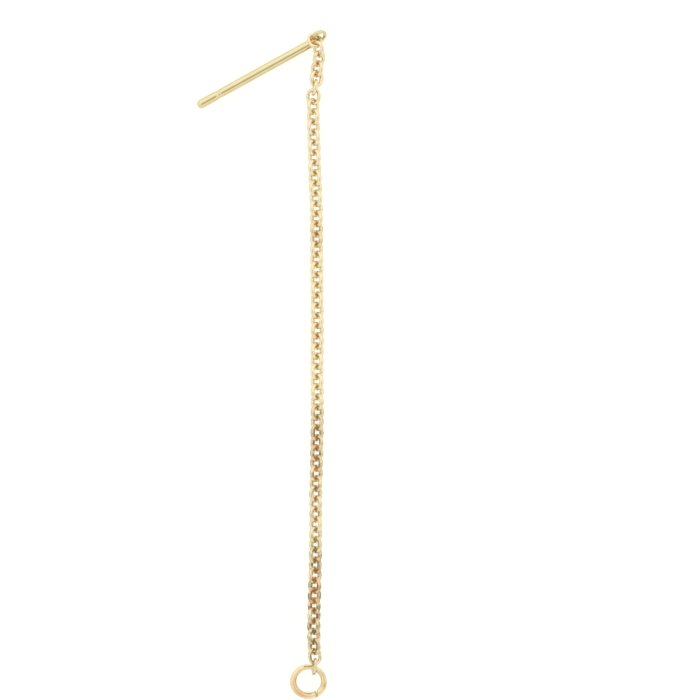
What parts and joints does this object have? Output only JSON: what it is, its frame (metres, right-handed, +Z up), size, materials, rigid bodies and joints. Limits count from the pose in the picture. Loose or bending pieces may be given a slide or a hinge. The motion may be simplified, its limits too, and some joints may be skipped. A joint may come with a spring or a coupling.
{
  "type": "chain earring",
  "caption": "Thread earring lying flat: a straight post with a small wire loop, a fine cable chain and an open ring at the chain's end.",
  "frame": {"origin": "on the surface the earring lies on, under the middle of its outline", "axes": "+X to the right and +Y up the chain towards the post, both as the picture shows it from above, +Z up from the surface"},
  "size_m": [0.013, 0.0668, 0.0019],
  "materials": {
    "gold_post": "drawn wire, pale yellow gold-filled, bright",
    "gold_chain": "pale yellow gold-filled cable chain, bright, with patches of grey-green and brown tarnish",
    "gold_ring": "pale yellow gold-filled round wire, bright, slightly rosy in places"
  },
  "bodies": {
    "root": {"ear_post": "gold_post", "chain": "gold_chain", "end_ring": "gold_ring"}
  },
  "joints": []
}
